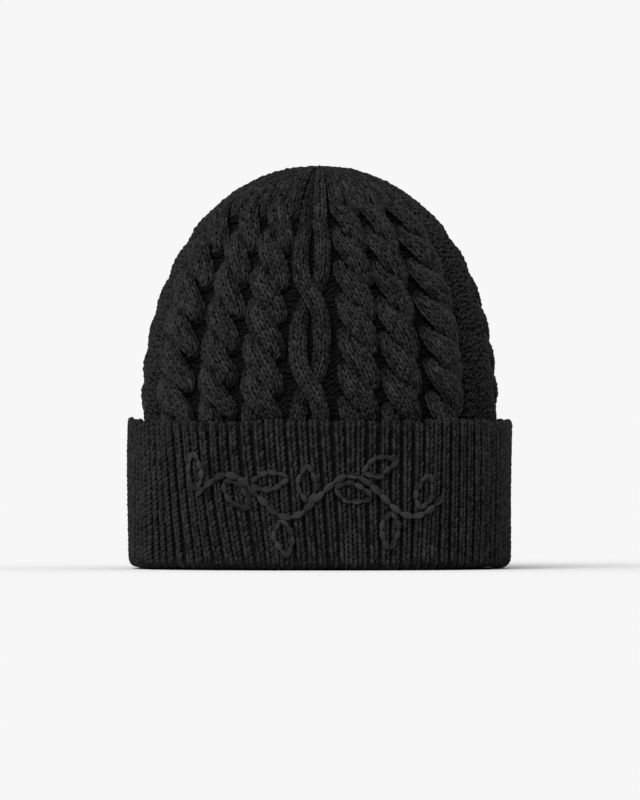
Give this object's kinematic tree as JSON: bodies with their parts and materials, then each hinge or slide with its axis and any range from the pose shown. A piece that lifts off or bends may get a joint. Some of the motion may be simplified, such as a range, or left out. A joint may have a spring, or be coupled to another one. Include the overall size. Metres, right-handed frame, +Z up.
{
  "type": "knit beanie",
  "caption": "Cabled knit beanie with a turned-up ribbed cuff and a hinged care label inside; it stands open on its folded edge, ready for a head.",
  "frame": {"origin": "middle of the head opening, on the plane that the folded edge of the cuff stands on", "axes": "+Z up towards the crown's top, -Y towards the front with the open cable and the stitched sprig, +X to the wearer's left, which is right in the front view"},
  "size_m": [0.19, 0.2225, 0.1962],
  "materials": {
    "crown_yarn": "matt purl knit",
    "cable_yarn": "matt cabled knit",
    "rib_yarn": "matt ribbed knit",
    "embroidery_yarn": "soft chain-stitched yarn",
    "seam_yarn": "matt yarn",
    "label_ribbon": "satin ribbon",
    "label_thread": "sewing thread"
  },
  "bodies": {
    "hat": {"crown_ground": "crown_yarn", "cable_front_1": "cable_yarn", "cable_front_2": "cable_yarn", "cable_front_3": "cable_yarn", "cable_front_4": "cable_yarn", "cable_front_5": "cable_yarn", "cable_front_6": "cable_yarn", "cable_front_7": "cable_yarn", "cable_left_1": "cable_yarn", "cable_left_2": "cable_yarn", "cable_left_3": "cable_yarn", "cable_right_1": "cable_yarn", "cable_right_2": "cable_yarn", "cable_right_3": "cable_yarn", "cable_back_1": "cable_yarn", "cable_back_2": "cable_yarn", "cable_back_3": "cable_yarn", "cable_back_4": "cable_yarn", "cable_back_5": "cable_yarn", "cable_back_6": "cable_yarn", "cable_back_7": "cable_yarn", "rib_band_inner": "rib_yarn", "cuff_fold": "rib_yarn", "cuff_turned_up": "rib_yarn", "cuff_top_edge": "rib_yarn", "crown_gather_yarn": "seam_yarn", "crown_gather_knot": "seam_yarn", "back_seam": "seam_yarn", "motif_stem": "embroidery_yarn", "motif_leaves": "embroidery_yarn", "care_label_stitches": "label_thread"},
    "label": {"care_label": "label_ribbon"}
  },
  "joints": [
    {"name": "label_hinge", "type": "hinge", "parent": "hat", "child": "label", "pos_m": [0, 0.0893, 0.108], "axis": [-1, 0, 0], "range_deg": [0, 100]}
  ]
}
